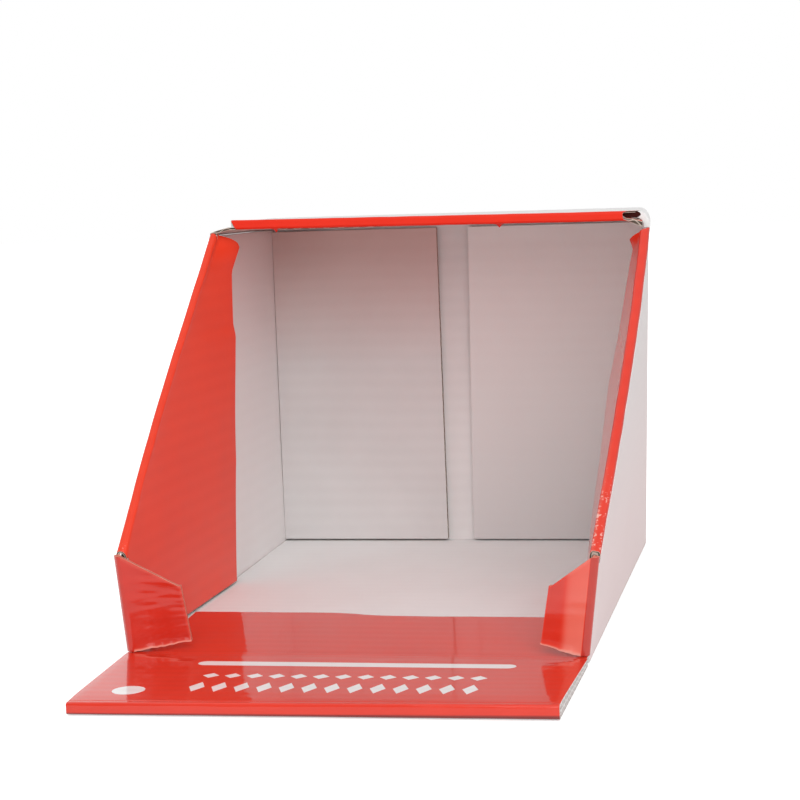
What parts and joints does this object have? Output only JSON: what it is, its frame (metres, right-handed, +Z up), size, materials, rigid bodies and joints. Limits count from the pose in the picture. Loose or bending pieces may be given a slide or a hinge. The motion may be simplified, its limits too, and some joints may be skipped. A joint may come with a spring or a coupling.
{
  "type": "counter display carton",
  "caption": "Open-fronted corrugated counter display carton with sloped sides, tucked side returns, a hinged double-board header and small corner tabs, lying on its back panel.",
  "frame": {"origin": "middle of the floor panel's underside, which is the face the carton lies on", "axes": "+X to the right along the header crease, +Y back from the mouth to the base, +Z up"},
  "size_m": [0.2002, 0.294, 0.164],
  "materials": {
    "white_liner": "uncoated white liner on corrugated board",
    "red_print": "gloss varnished red print on corrugated board"
  },
  "bodies": {
    "carton": {"floor_panel": "white_liner", "left_side_panel": "white_liner", "right_side_panel": "white_liner", "top_panel": "white_liner", "left_glue_flap": "white_liner", "base_panel": "white_liner", "left_base_flap": "white_liner", "right_base_flap": "white_liner", "left_slope_fold": "red_print", "right_slope_fold": "red_print", "left_side_return": "red_print", "right_side_return": "red_print", "top_front_fold": "red_print", "top_return": "red_print", "header_glue_strip": "red_print"},
    "header": {"header_backing_panel": "white_liner", "header_front_fold": "red_print", "header_face_panel": "red_print"},
    "left_tab": {"left_corner_tab": "red_print"},
    "right_tab": {"right_corner_tab": "red_print"}
  },
  "joints": [
    {"name": "header_crease", "type": "hinge", "parent": "carton", "child": "header", "pos_m": [0, -0.111, 0.0056], "axis": [-1, 0, 0], "range_deg": [0, 90]},
    {"name": "left_tab_crease", "type": "hinge", "parent": "carton", "child": "left_tab", "pos_m": [-0.0872, -0.1075, 0], "axis": [-0.0983, 0, 0.9952], "range_deg": [-10, 28]},
    {"name": "right_tab_crease", "type": "hinge", "parent": "carton", "child": "right_tab", "pos_m": [0.0872, -0.1075, 0], "axis": [-0.1248, 0, -0.9922], "range_deg": [-12, 26]}
  ]
}
